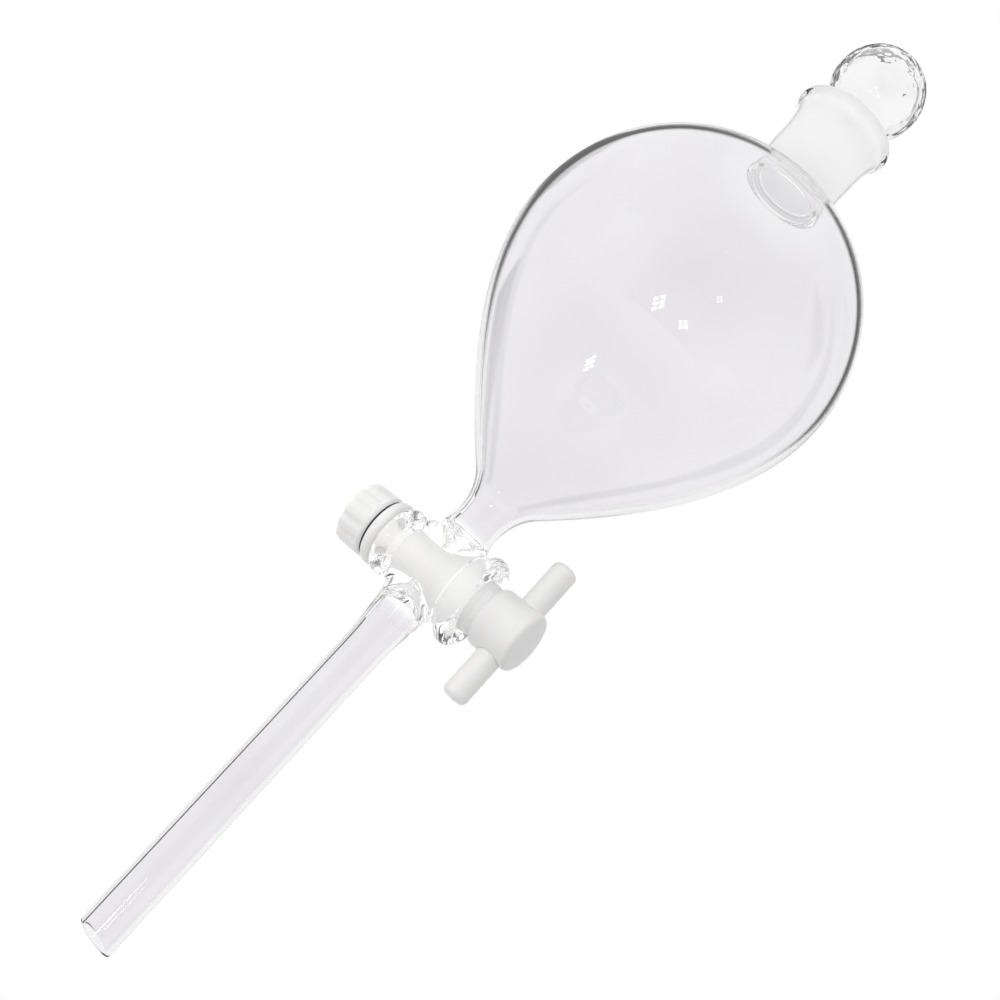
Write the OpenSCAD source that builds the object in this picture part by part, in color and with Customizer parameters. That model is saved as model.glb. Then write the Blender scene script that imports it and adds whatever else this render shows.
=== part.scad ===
// Separatory funnel, 500 ml, with a 24 mm ground neck, a hollow stopper and a plastic stopcock.
// The outlet tip is at z = 0 and the funnel's axis is +Z. The stopcock lies along X, with its
// handle at +X and its nut at -X. Every glass piece is turned about its own axis.

/* [Stem] */
// Outer diameter of the outlet stem
stem_d = 11.5; // [10:0.5:13]
// Wall of the stem
stem_wall = 1.25; // [1:0.05:1.6]
// Angle at which the tip is cut
tip_angle = 12; // [0:1:20]
// Height of the stopcock's axis above the tip
tap_z = 125; // [110:1:150]

/* [Bulb] */
// Outer diameter of the globe
bulb_d = 101.6; // [98:0.2:106]
// Wall of the globe
bulb_wall = 1.7; // [1.4:0.1:2.2]
// Height of the globe's centre above the stopcock's axis
bulb_rise = 99.2; // [98:0.2:102]
// Outer diameter of the tail tube at its waist
tail_d = 13.4; // [12.5:0.1:14.5]
// Wall of the tail tube
tail_wall = 1.7; // [1.4:0.1:2]

/* [Neck] */
// Inner diameter of the ground socket at its mouth
mouth_d = 24; // [23.5:0.1:24.5]
// Height of the mouth above the globe's centre
neck_rise = 77.8; // [76:0.2:79]
// Wall of the socket below its bead
neck_wall = 1.8; // [1.5:0.1:2.2]
// Outer diameter of the bead round the mouth
bead_d = 31.4; // [30:0.2:33]

/* [Stopper] */
// Outer diameter of the hollow ball head
ball_d = 27.8; // [26:0.2:29]
// Height of the ball's centre above the mouth
ball_rise = 13.8; // [13:0.2:15]
// Length of the cone below the mouth
cone_len = 29; // [24:1:30]
// Wall of the stopper
stopper_wall = 1.8; // [1.4:0.1:2.2]

/* [Stopcock] */
// Diameter of the plug where the bores cross
plug_d = 10.8; // [10:0.2:12]
// Diameter of the way through the plug
port_d = 4; // [3:0.5:4]
// Outer diameter of the barrel
barrel_d = 19; // [18:0.5:20]
// Diameter of the lip on the handle side
big_lip_d = 27; // [26:0.2:28]
// Diameter of the lip on the nut side
small_lip_d = 20.4; // [20:0.1:21.5]
// Diameter of the plug's round head
head_d = 17.4; // [16.5:0.1:18.5]
// Diameter of the handle bar
bar_d = 7.3; // [6:0.1:8]
// Length of the handle bar
bar_len = 45; // [40:0.2:50]
// Outer diameter of the washer
washer_d = 19.2; // [18:0.2:20]
// Outer diameter of the nut over its flutes
nut_d = 18.6; // [17.8:0.2:19.2]
// Number of flutes on the nut
flutes = 12; // [8:1:14]

/* [Hidden] */
$fn = 96;

stem_r = stem_d / 2;
tail_r = tail_d / 2;
bulb_r = bulb_d / 2;
bulb_z = tap_z + bulb_rise;
mouth_z = bulb_z + neck_rise;
glass = [0.86, 0.90, 0.92, 0.45];
frosted = [0.93, 0.94, 0.95, 0.8];
plastic = "white";

// Gap between a ground or turned surface and its seat
fit_gap = 0.05;
// Gap between loose pieces that turn or slide past each other
loose_gap = 0.3;
// Both the ground neck and the stopcock's plug taper by a fixed rate in diameter
neck_taper = 1 / 10;
plug_taper = 1 / 5;

// ---- Outlines: each is a list of [radius, height] points on one side of the axis ----

// Points of an arc about c, from angle a0 to a1
function arc(c, r, a0, a1, n = 12) = [for (i = [0:n]) let (a = a0 + (a1 - a0) * i / n)
    c + r * [cos(a), sin(a)]];
// Points of a cubic curve with end points p0 and p3 and handles p1 and p2
function curve(p0, p1, p2, p3, n = 20) = [for (i = [0:n]) let (t = i / n, u = 1 - t)
    u * u * u * p0 + 3 * u * u * t * p1 + 3 * u * t * t * p2 + t * t * t * p3];
function flipped(list) = [for (i = [len(list) - 1:-1:0]) list[i]];
// The list without its first point, which repeats the end of the stretch before it
function rest(list) = [for (i = [1:len(list) - 1]) list[i]];

// The globe's lower half leaves the sphere at this slope and runs on into the cone
shoulder_a = 14.4;
cone_a = 44;
// Radius of the hollow fillet between cone and tail tube, and of the flare onto the barrel
fillet_r = 16;
tail_flare_r = 15.4;
stem_flare_r = 80;
// Heights at which the tail's fillet and the two flares begin
waist_z = tap_z + 17.9;
tail_flare_z = tap_z + 17;
stem_flare_z = tap_z - 28;
// Where the tail tube and the stem are sealed to the barrel's side arms
seal_rise = 13.2;
// Height above the stopcock's axis at which a side arm reaches the barrel's surface
arm_foot = 9.7;

cone_start = [tail_r + fillet_r * (1 - cos(cone_a)), waist_z + fillet_r * sin(cone_a)];
shoulder = [bulb_r * cos(shoulder_a), bulb_z - bulb_r * sin(shoulder_a)];
cone_pull = 26;
shoulder_pull = 22;
pear = curve(cone_start, cone_start + cone_pull * [sin(cone_a), cos(cone_a)],
    shoulder - shoulder_pull * [sin(shoulder_a), cos(shoulder_a)], shoulder);

// Outer outline of the glass from the tail's waist to the neck, moved in by w for the inside
function pear_in(w) = let (n = len(pear) - 1)
    [for (i = [0:n]) let (a = cone_a + (shoulder_a - cone_a) * i / n)
        pear[i] + w * [-cos(a), sin(a)]];
function fillet_out(w) = arc([tail_r + fillet_r, waist_z], fillet_r + w, 180, 180 - cone_a);
function dome_out(r, top_r) = arc([0, bulb_z], r, -shoulder_a, acos(top_r / r), 36);

ground_len = 29;
neck_in_r = function (z) (mouth_d - (mouth_z - z) * neck_taper) / 2;
neck_out_r = mouth_d / 2 + neck_wall - 1.2;
neck_foot_r = neck_in_r(mouth_z - ground_len);
neck_z = bulb_z + sqrt(pow(bulb_r, 2) - pow(neck_out_r, 2));
neck_foot_z = bulb_z + sqrt(pow(bulb_r - bulb_wall, 2) - pow(neck_foot_r, 2));

// ---- Glass body ----

module stem() {
    flare_top = asin((tap_z - seal_rise - stem_flare_z) / stem_flare_r);
    outside = arc([stem_r + stem_flare_r, stem_flare_z], stem_flare_r, 180, 180 - flare_top);
    top = outside[len(outside) - 1];
    color(glass)
    difference() {
        rotate_extrude()
            polygon(concat([[stem_r - stem_wall, 0], [stem_r, 0]], outside,
                [[stem_r - stem_wall + 0.6, top[1]], [stem_r - stem_wall, stem_flare_z]]));
        // The tip is cut aslant, longer on the handle side
        translate([stem_r, 0, 0])
            rotate([0, tip_angle, 0])
                translate([-4 * stem_d, -stem_d, -stem_d])
                    cube([4 * stem_d, 2 * stem_d, stem_d]);
    }
}

module tail_tube() {
    seal_z = tap_z + seal_rise;
    flare_end = asin((tail_flare_z - seal_z) / tail_flare_r);
    flare = arc([tail_r + tail_flare_r, tail_flare_z], tail_flare_r, 180 + flare_end, 180, 6);
    top_z = waist_z;
    color(glass)
    rotate_extrude()
        polygon(concat(flare, [[tail_r, top_z], [tail_r - tail_wall, top_z],
            [tail_r - tail_wall, seal_z]]));
}

module bulb() {
    inner_r = bulb_r - bulb_wall;
    color(glass)
    rotate_extrude()
        polygon(concat(
            fillet_out(0), rest(pear), rest(dome_out(bulb_r, neck_out_r)),
            flipped(dome_out(inner_r, neck_foot_r)),
            rest(flipped(pear_in(bulb_wall))), rest(flipped(fillet_out(tail_wall)))));
}

module neck_socket() {
    bead_r = 2.6;
    bead_z = mouth_z - bead_r;
    bead_x = bead_d / 2 - bead_r;
    under_r = mouth_d / 2 + neck_wall;
    color(frosted)
    rotate_extrude()
        polygon(concat(
            [[neck_foot_r, neck_foot_z], [neck_out_r, neck_z], [under_r - 0.8, bead_z - 12],
             [under_r - 0.2, bead_z - 5.5], [under_r + 0.2, bead_z - 3.4]],
            arc([bead_x, bead_z], bead_r, -50, 90, 10),
            [[mouth_d / 2 + 0.6, mouth_z], [neck_in_r(mouth_z - 0.6), mouth_z - 0.6]]));
}

// Plug and bore taper together; x is measured from the funnel's axis towards the handle
plug_r = function (x) (plug_d + x * plug_taper) / 2;
barrel_x0 = -15.6;
barrel_x1 = 15.8;
relief_x = -10.9;

module along_x() {
    rotate([0, 90, 0]) children();
}

module barrel_outline() {
    lip0 = 2.6;
    lip1 = 2.4;
    polygon(concat(
        [[0, barrel_x0], [small_lip_d / 2 - lip0, barrel_x0]],
        arc([small_lip_d / 2 - lip0, barrel_x0 + lip0], lip0, -80, 60, 10),
        [[barrel_d / 2, barrel_x0 + 7.5], [barrel_d / 2, 3], [barrel_d / 2 + 0.7, 6.5],
         [barrel_d / 2 + 1.9, 9.5]],
        arc([big_lip_d / 2 - lip1, barrel_x1 - lip1], lip1, -30, 90, 10),
        [[0, barrel_x1]]));
}

module barrel_bore() {
    mouth_x = 10.6;
    relief_r = 5.4;
    polygon([[0, barrel_x0 - 1], [relief_r + 0.8, barrel_x0 - 1], [relief_r + 0.4, barrel_x0 + 1],
        [relief_r, relief_x - 1], [plug_r(relief_x) + fit_gap, relief_x],
        [plug_r(mouth_x) + fit_gap, mouth_x], [8.6, 12.2], [10.6, barrel_x1 + 1],
        [0, barrel_x1 + 1]]);
}

module stopcock_barrel() {
    color(glass)
    difference() {
        union() {
            translate([0, 0, tap_z]) along_x() rotate_extrude() barrel_outline();
            translate([0, 0, tap_z]) rotate_extrude() tail_arm();
            translate([0, 0, tap_z]) rotate_extrude() stem_arm();
        }
        translate([0, 0, tap_z]) along_x() rotate_extrude() barrel_bore();
        translate([0, 0, tap_z - 20]) cylinder(d = port_d, h = 40);
        // The tubes' own bores run down to the barrel's wall and round in to the ports
        translate([0, 0, tap_z + 8])
            cylinder(r1 = port_d / 2, r2 = tail_r - tail_wall, h = 3.4);
        translate([0, 0, tap_z + 11.4])
            cylinder(r = tail_r - tail_wall, h = 4);
        translate([0, 0, tap_z - 11.4])
            cylinder(r1 = stem_r - stem_wall + 0.6, r2 = port_d / 2, h = 3.4);
        translate([0, 0, tap_z - 15.4])
            cylinder(r = stem_r - stem_wall + 0.6, h = 4);
    }
}

// The side arms widen down to the barrel's surface and run straight on inside it
module tail_arm() {
    rise = tail_flare_z - tap_z;
    low_a = asin((rise - arm_foot) / tail_flare_r);
    seal_a = asin((rise - seal_rise) / tail_flare_r);
    flare = arc([tail_r + tail_flare_r, rise], tail_flare_r, 180 + low_a, 180 + seal_a, 6);
    polygon(concat([[0, 0], [flare[0][0], 0]], flare, [[0, seal_rise]]));
}

module stem_arm() {
    rise = stem_flare_z - tap_z;
    low_a = asin((-arm_foot - rise) / stem_flare_r);
    seal_a = asin((-seal_rise - rise) / stem_flare_r);
    flare = arc([stem_r + stem_flare_r, rise], stem_flare_r, 180 - seal_a, 180 - low_a, 6);
    polygon(concat([[0, -seal_rise]], flare, [[flare[6][0], 0], [0, 0]]));
}

// ---- Stopper ----

throat_r = 9.4;
throat_rise = 1.4;

module stopper_cone() {
    cone_r = function (z) neck_in_r(z) - fit_gap;
    foot_z = mouth_z - cone_len;
    foot_round = 2.5;
    join_z = mouth_z + throat_rise;
    color(frosted)
    rotate_extrude()
        polygon(concat(
            [[0, foot_z]],
            arc([cone_r(foot_z) - foot_round, foot_z + foot_round], foot_round, -90, 0, 6),
            [[cone_r(mouth_z - 1), mouth_z - 1], [cone_r(mouth_z) - 0.5, mouth_z + 0.4],
             [throat_r, join_z], [throat_r - stopper_wall, join_z],
             [cone_r(mouth_z) - stopper_wall - 0.6, mouth_z - 1]],
            flipped(arc([cone_r(foot_z) - foot_round, foot_z + foot_round],
                foot_round - stopper_wall + 0.4, -90, 0, 4)),
            [[0, foot_z + stopper_wall - 0.4]]));
}

module stopper_ball() {
    ball_r = ball_d / 2;
    ball_z = mouth_z + ball_rise;
    join_z = mouth_z + throat_rise;
    low = function (r, rim) -acos(rim / r);
    color(glass)
    rotate_extrude()
        polygon(concat(
            [[throat_r, join_z]],
            arc([0, ball_z], ball_r, low(ball_r, throat_r + 0.6), 90, 30),
            flipped(arc([0, ball_z], ball_r - stopper_wall,
                low(ball_r - stopper_wall, throat_r - stopper_wall + 0.4), 90, 30)),
            [[throat_r - stopper_wall, join_z]]));
}

// ---- Stopcock's plug and its fastening ----

washer_x = barrel_x0 - 0.02;
washer_t = 3;
ring_gap = 0.5;
nut_x = washer_x - washer_t - ring_gap;
nut_len = 8.5;
thread_d = 8;
head_x0 = 19.4;
head_x1 = 32.6;
collar_r = 7.7;
bar_x = 27.1;

module stopcock_plug() {
    taper_x0 = -10.5;
    taper_x1 = 10;
    thread_r = thread_d / 2;
    edge = 1.3;
    color(plastic)
    difference() {
        translate([0, 0, tap_z])
            along_x()
                rotate_extrude()
                    polygon(concat(
                        [[0, nut_x - nut_len + 1.2], [thread_r - 0.8, nut_x - nut_len + 1.2],
                         [thread_r, nut_x - nut_len + 2], [thread_r, taper_x0 - 0.4],
                         [plug_r(taper_x0), taper_x0], [plug_r(taper_x1), taper_x1],
                         [plug_r(taper_x1) + 0.2, 12], [collar_r - 0.8, 13.4],
                         [collar_r - 0.8, 14.2], [collar_r, 15], [collar_r, head_x0],
                         [collar_r + 0.2, head_x0 + 0.3]],
                        arc([head_d / 2 - edge, head_x0 + edge + 0.6], edge, -40, 0, 5),
                        arc([head_d / 2 - edge, head_x1 - edge], edge, 0, 90, 6),
                        [[0, head_x1]]));
        translate([0, 0, tap_z - 15]) cylinder(d = port_d, h = 30);
        translate([bar_x, 0, tap_z - 15]) cylinder(d = bar_d, h = 30);
    }
}

module handle_bar() {
    edge = 1.8;
    half = bar_len / 2;
    color(plastic)
    translate([bar_x, 0, tap_z])
        rotate_extrude()
            polygon(concat([[0, -half]],
                arc([bar_d / 2 - edge, -half + edge], edge, -90, 0, 6),
                arc([bar_d / 2 - edge, half - edge], edge, 0, 90, 6),
                [[0, half]]));
}

module washer() {
    edge = 1.1;
    inner_r = thread_d / 2 + loose_gap;
    rim = washer_d / 2 - edge;
    color(plastic)
    translate([0, 0, tap_z])
        along_x()
            rotate_extrude()
                polygon(concat(
                    [[inner_r, washer_x - washer_t]],
                    arc([rim, washer_x - washer_t + edge], edge, -90, 0, 6),
                    arc([rim, washer_x - edge], edge, 0, 90, 6),
                    [[inner_r, washer_x]]));
}

module o_ring() {
    ring_in = 9.8 / 2;
    ring_out = 15.8 / 2;
    ring_t = 1.8;
    middle = [(ring_in + ring_out) / 2, washer_x - washer_t - ring_t / 2];
    color("black")
    translate([0, 0, tap_z])
        along_x()
            rotate_extrude()
                polygon([for (a = [0:15:345])
                    middle + [(ring_out - ring_in) / 2 * cos(a), ring_t / 2 * sin(a)]]);
}

module nut() {
    bevel = 0.8;
    outer = nut_d / 2;
    seat_r = 16.1 / 2;
    seat_depth = 1.4;
    flute_r = 1.6;
    color(plastic)
    difference() {
        translate([0, 0, tap_z])
            along_x()
                rotate_extrude()
                    polygon([[thread_d / 2 + fit_gap, nut_x - nut_len],
                        [outer - bevel, nut_x - nut_len], [outer, nut_x - nut_len + bevel],
                        [outer, nut_x - 0.6], [outer - 0.5, nut_x], [seat_r, nut_x],
                        [seat_r, nut_x - seat_depth], [thread_d / 2 + fit_gap, nut_x - seat_depth]]);
        for (i = [0:flutes - 1])
            translate([nut_x - nut_len - 1, 0, tap_z])
                rotate([i * 360 / flutes, 0, 0])
                    translate([0, 0, outer + flute_r - 0.45])
                        along_x() cylinder(r = flute_r, h = nut_len - 1, $fn = 24);
    }
}

neck_socket();
bulb();
tail_tube();
stopcock_barrel();
stem();
stopper_cone();
stopper_ball();
stopcock_plug();
handle_bar();
washer();
o_ring();
nut();
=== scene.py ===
import math

import bmesh
import bpy
import numpy as np
from mathutils import Matrix, Vector, noise


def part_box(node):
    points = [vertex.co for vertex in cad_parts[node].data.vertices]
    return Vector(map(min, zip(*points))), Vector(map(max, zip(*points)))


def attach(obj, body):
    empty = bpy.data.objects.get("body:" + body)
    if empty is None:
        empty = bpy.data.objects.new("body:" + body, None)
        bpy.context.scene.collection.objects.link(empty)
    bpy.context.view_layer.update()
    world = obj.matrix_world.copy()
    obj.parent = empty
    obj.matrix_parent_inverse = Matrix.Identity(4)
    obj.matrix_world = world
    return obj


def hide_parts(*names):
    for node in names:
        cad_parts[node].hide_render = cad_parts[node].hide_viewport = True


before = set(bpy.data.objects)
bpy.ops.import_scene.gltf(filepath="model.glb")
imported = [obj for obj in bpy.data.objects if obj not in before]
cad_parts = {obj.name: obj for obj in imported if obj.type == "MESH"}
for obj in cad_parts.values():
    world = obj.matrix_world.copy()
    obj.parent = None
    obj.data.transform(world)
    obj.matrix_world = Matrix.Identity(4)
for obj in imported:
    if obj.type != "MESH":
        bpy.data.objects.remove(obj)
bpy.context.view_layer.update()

MM = 0.001


def mm_box(node):
    lo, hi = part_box(node)
    return np.array(lo) / MM, np.array(hi) / MM


# ---- Sizes in millimetres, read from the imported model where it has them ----

TAP_Z = 0.5 * (mm_box("handle_bar")[0][2] + mm_box("handle_bar")[1][2])
BULB_R = mm_box("bulb")[1][0]
MOUTH_Z = mm_box("neck_socket")[1][2]
BEAD_R = mm_box("neck_socket")[1][0]
BALL_TOP = mm_box("stopper_ball")[1][2]
BALL_R = mm_box("stopper_ball")[1][0]
BULB_RISE = 99.2  # from the stopcock's axis up to the middle of the globe
BULB_Z = TAP_Z + BULB_RISE
STEM_R, STEM_WALL = 5.75, 1.25
TAIL_R, TAIL_WALL = 6.7, 1.7
BULB_WALL = 1.7
NECK_R = 12.75
MOUTH_R = 12.0
GROUND = 29.0  # length of the ground joint, which narrows by 1 in 10 across
TIP_ANGLE = math.radians(12)
TIP_LENGTH = 9.0  # the stretch of the stem over which the slanting cut fades out

# ---- Small geometry helpers ----


def arc(cx, cy, r, a0, a1, n=12):
    """Points of an arc about (cx, cy), angles in degrees."""
    a = np.radians(np.linspace(a0, a1, n + 1))
    return [(cx + r * math.cos(t), cy + r * math.sin(t)) for t in a]


def make_object(name, verts, faces, body, mats, face_mats=None):
    """A piece made from points in millimetres, riding on a body."""
    mesh = bpy.data.meshes.new(name)
    mesh.from_pydata([tuple(v) for v in np.asarray(verts, float) * MM], [], faces)
    for m in mats:
        mesh.materials.append(m)
    if face_mats is not None:
        mesh.polygons.foreach_set("material_index", np.asarray(face_mats, np.int32))
    mesh.polygons.foreach_set("use_smooth", np.full(len(mesh.polygons), True))
    mesh.validate()
    mesh.update()
    obj = bpy.data.objects.new(name, mesh)
    bpy.context.scene.collection.objects.link(obj)
    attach(obj, body)
    return obj


def smoothstep(x, lo, hi):
    t = np.clip((np.asarray(x, float) - lo) / (hi - lo), 0, 1)
    return t * t * (3 - 2 * t)


def turned(profile, segments, axis="z", origin=(0, 0, 0), shape=None):
    """Revolves (radius, height) points; a radius of 0 closes an end in one point. shape moves points."""
    verts, faces, rings = [], [], []
    for r, h in profile:
        if r <= 1e-9:
            rings.append([len(verts)])
            verts.append((0.0, 0.0, h))
            continue
        ring = []
        for k in range(segments):
            a = 2 * math.pi * k / segments
            ring.append(len(verts))
            verts.append((r * math.cos(a), r * math.sin(a), h))
        rings.append(ring)
    for lower, upper in zip(rings[:-1], rings[1:]):
        if len(lower) == 1 and len(upper) == 1:
            continue
        for k in range(segments):
            j = (k + 1) % segments
            if len(lower) == 1:
                faces.append((lower[0], upper[j], upper[k]))
            elif len(upper) == 1:
                faces.append((lower[k], lower[j], upper[0]))
            else:
                faces.append((lower[k], lower[j], upper[j], upper[k]))
    v = np.array(verts)
    if shape is not None:
        v = shape(v)
    if axis == "x":
        v = v[:, [2, 1, 0]] * np.array([1, -1, 1])
    return v + np.array(origin), faces


def rounded(points, radii, n=6):
    """An open outline with its corners rounded to the given radii (0 leaves one sharp)."""
    out = []
    for i, p in enumerate(points):
        r = radii[i]
        if r <= 0 or i == 0 or i == len(points) - 1:
            out.append(tuple(p))
            continue
        p = np.array(p, float)
        a = np.array(points[i - 1], float) - p
        b = np.array(points[i + 1], float) - p
        la, lb = np.linalg.norm(a), np.linalg.norm(b)
        a, b = a / la, b / lb
        half = math.acos(max(-1, min(1, float(a @ b)))) / 2
        cut = min(r / math.tan(half), 0.49 * la, 0.49 * lb)
        r = cut * math.tan(half)
        mid = (a + b) / np.linalg.norm(a + b)
        c = p + mid * r / math.sin(half)
        start, end = p + a * cut - c, p + b * cut - c
        t0 = math.atan2(start[1], start[0])
        t1 = math.atan2(end[1], end[0])
        turn = (t1 - t0 + math.pi) % (2 * math.pi) - math.pi
        for k in range(n + 1):
            t = t0 + turn * k / n
            out.append((c[0] + r * math.cos(t), c[1] + r * math.sin(t)))
    return out


def spread(profile, step):
    """Adds points to long stretches of an outline, so that no stretch is longer than step."""
    out = [profile[0]]
    for a, b in zip(profile[:-1], profile[1:]):
        n = max(1, math.ceil(math.dist(a, b) / step))
        for k in range(1, n + 1):
            out.append((a[0] + (b[0] - a[0]) * k / n, a[1] + (b[1] - a[1]) * k / n))
    return out


# ---- Glass body: turned outlines ----

FILLET_R = 16.0
TAIL_FLARE_R = 11.5
STEM_FLARE_R = 80.0
WAIST_Z = TAP_Z + 17.9
TAIL_FLARE_Z = TAP_Z + 17.0
STEM_FLARE_Z = TAP_Z - 28.0
ARM_FOOT = 9.7
SHOULDER_A, CONE_A = math.radians(14.4), math.radians(44)


def tail_out(rise):
    """Outer radius of the tail tube at a height above the stopcock's axis."""
    s = np.clip(TAIL_FLARE_Z - TAP_Z - np.maximum(rise, ARM_FOOT), 0, None)
    return TAIL_R + TAIL_FLARE_R - np.sqrt(TAIL_FLARE_R**2 - s**2)


def stem_out(rise):
    """Outer radius of the stem at a height (negative) above the stopcock's axis."""
    s = np.clip(np.minimum(rise, -ARM_FOOT) - (STEM_FLARE_Z - TAP_Z), 0, None)
    return STEM_R + STEM_FLARE_R - np.sqrt(STEM_FLARE_R**2 - s**2)


def stem_in(rise):
    """Inner radius of the stem, which opens a little towards the barrel."""
    s = smoothstep(rise, STEM_FLARE_Z - TAP_Z, -ARM_FOOT - 3)
    return STEM_R - STEM_WALL + 0.6 * s


cone_start = np.array([TAIL_R + FILLET_R * (1 - math.cos(CONE_A)), WAIST_Z + FILLET_R * math.sin(CONE_A)])
shoulder = np.array([BULB_R * math.cos(SHOULDER_A), BULB_Z - BULB_R * math.sin(SHOULDER_A)])
handle0 = cone_start + 26 * np.array([math.sin(CONE_A), math.cos(CONE_A)])
handle1 = shoulder - 22 * np.array([math.sin(SHOULDER_A), math.cos(SHOULDER_A)])


def pear(w, n=46):
    """The cone and shoulder of the bulb, moved in by w."""
    out = []
    for i in range(n + 1):
        t = i / n
        u = 1 - t
        p = u**3 * cone_start + 3 * u * u * t * handle0 + 3 * u * t * t * handle1 + t**3 * shoulder
        d = (3 * u * u * (handle0 - cone_start) + 6 * u * t * (handle1 - handle0)
             + 3 * t * t * (shoulder - handle1))
        d = d / np.linalg.norm(d)
        out.append((p[0] - w * d[1], p[1] + w * d[0]))
    return out


def outer_profile(z0):
    """Outer glass outline from height z0 in the tail tube up to the mouth."""
    pts = [(float(tail_out(z - TAP_Z)), z) for z in np.linspace(z0, TAIL_FLARE_Z, 6)]
    pts += [(TAIL_R, 0.5 * (TAIL_FLARE_Z + WAIST_Z))]
    pts += arc(TAIL_R + FILLET_R, WAIST_Z, FILLET_R, 180, 180 - math.degrees(CONE_A), 22)
    pts += pear(0)[1:]
    # dome up to the neck's fillet
    fil = 0.4
    a = math.acos((NECK_R + fil) / (BULB_R + fil))
    pts += arc(0, BULB_Z, BULB_R, -math.degrees(SHOULDER_A), math.degrees(a), 90)[1:]
    fz = BULB_Z + (BULB_R + fil) * math.sin(a)
    pts += arc(NECK_R + fil, fz, fil, 180 + math.degrees(a), 180, 6)[1:]
    bead_r = 2.6
    bead_x, bead_z = BEAD_R - bead_r, MOUTH_Z - bead_r
    pts += [(12.85, fz + 4), (13.0, bead_z - 12), (13.15, bead_z - 8.5), (13.45, bead_z - 6.0),
            (13.85, bead_z - 4.2), (14.1, bead_z - 3.3)]
    pts += arc(bead_x, bead_z, bead_r, -52, 98, 16)
    return pts


def inner_profile(z0):
    """Inner glass outline from height z0 in the tail tube up to the mouth."""
    pts = [(TAIL_R - TAIL_WALL, z) for z in np.linspace(z0, WAIST_Z, 6)]
    pts += arc(TAIL_R + FILLET_R, WAIST_Z, FILLET_R + TAIL_WALL, 180, 180 - math.degrees(CONE_A), 22)[1:]
    pts += pear(BULB_WALL)[1:]
    r_in = BULB_R - BULB_WALL
    foot_r, fil = MOUTH_R - GROUND / 20, 0.8
    a = math.acos((foot_r + fil) / (r_in + fil))
    pts += arc(0, BULB_Z, r_in, -math.degrees(SHOULDER_A), math.degrees(a), 90)[1:]
    z = BULB_Z + (r_in + fil) * math.sin(a)
    pts += arc(foot_r + fil, z, fil, 180 + math.degrees(a), 180, 8)[1:]
    pts += [(foot_r + 0.02, MOUTH_Z - GROUND + 2.0)]
    pts += [(MOUTH_R - h / 20, MOUTH_Z - h) for h in np.linspace(GROUND - 3, 1.2, 14)]
    pts += [(MOUTH_R + 0.05, MOUTH_Z - 0.75), (MOUTH_R + 0.3, MOUTH_Z - 0.32),
            (MOUTH_R + 0.62, MOUTH_Z - 0.08)]
    return pts


# ---- Glass body: the stopcock barrel, melted into the two tubes ----

BARREL_X0, BARREL_X1, RELIEF_X = -15.6, 15.8, -10.9


PLUG_MID_D = 10.8


def plug_r(x):
    """Radius of the plug's taper, 1 in 5 across, at a place along the stopcock's axis."""
    return (PLUG_MID_D + x / 5) / 2


SMALL_LIP_R, SMALL_LIP = 10.2, 2.6  # outer radius and roundness of the lip at the plug's small end
LARGE_LIP_R, LARGE_LIP = 13.5, 2.4
barrel_poly = [(0, BARREL_X0), (SMALL_LIP_R - SMALL_LIP, BARREL_X0)]
barrel_poly += arc(SMALL_LIP_R - SMALL_LIP, BARREL_X0 + SMALL_LIP, SMALL_LIP, -80, 60, 14)
barrel_poly += [(9.62, BARREL_X0 + 6.2), (9.5, BARREL_X0 + 8.5), (9.5, 2.0), (9.75, 4.6), (10.25, 6.6),
                (10.85, 8.3), (11.5, 10.0)]
barrel_poly += arc(LARGE_LIP_R - LARGE_LIP, BARREL_X1 - LARGE_LIP, LARGE_LIP, -38, 90, 14)
barrel_poly += [(0, BARREL_X1)]
HOLD = 0.03  # the bore lies this far inside the plug, so that no air gap shows
bore_poly = [(0, BARREL_X0 - 3), (6.5, BARREL_X0 - 3), (6.25, BARREL_X0), (5.8, BARREL_X0 + 1.2),
             (5.45, RELIEF_X - 1.2),
             (plug_r(RELIEF_X) - HOLD, RELIEF_X), (plug_r(10.0) - HOLD, 10.0), (plug_r(10) + 0.17, 12.0),
             (6.85, 13.2), (6.87, 14.2), (7.65, 14.75), (7.95, BARREL_X1), (8.3, BARREL_X1 + 3),
             (0, BARREL_X1 + 3)]


def polygon_distance(poly, u, v):
    """Signed distance (negative inside) of points (u, v) to a polygon mirrored about u = 0."""
    pts = [(r, h) for r, h in poly] + [(-r, h) for r, h in reversed(poly) if r > 1e-9]
    p = np.array(pts, float)
    q = np.roll(p, -1, axis=0)
    best = np.full(u.shape, 1e9)
    inside = np.zeros(u.shape, bool)
    for (ax, ay), (bx, by) in zip(p, q):
        dx, dy = bx - ax, by - ay
        ll = dx * dx + dy * dy
        if ll < 1e-12:
            continue
        t = np.clip(((u - ax) * dx + (v - ay) * dy) / ll, 0, 1)
        best = np.minimum(best, (u - ax - t * dx) ** 2 + (v - ay - t * dy) ** 2)
        if abs(by - ay) > 1e-12:
            hit = (ay > v) != (by > v)
            inside ^= hit & (u < (bx - ax) * (v - ay) / (by - ay) + ax)
    return np.where(inside, -1.0, 1.0) * np.sqrt(best)


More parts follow.
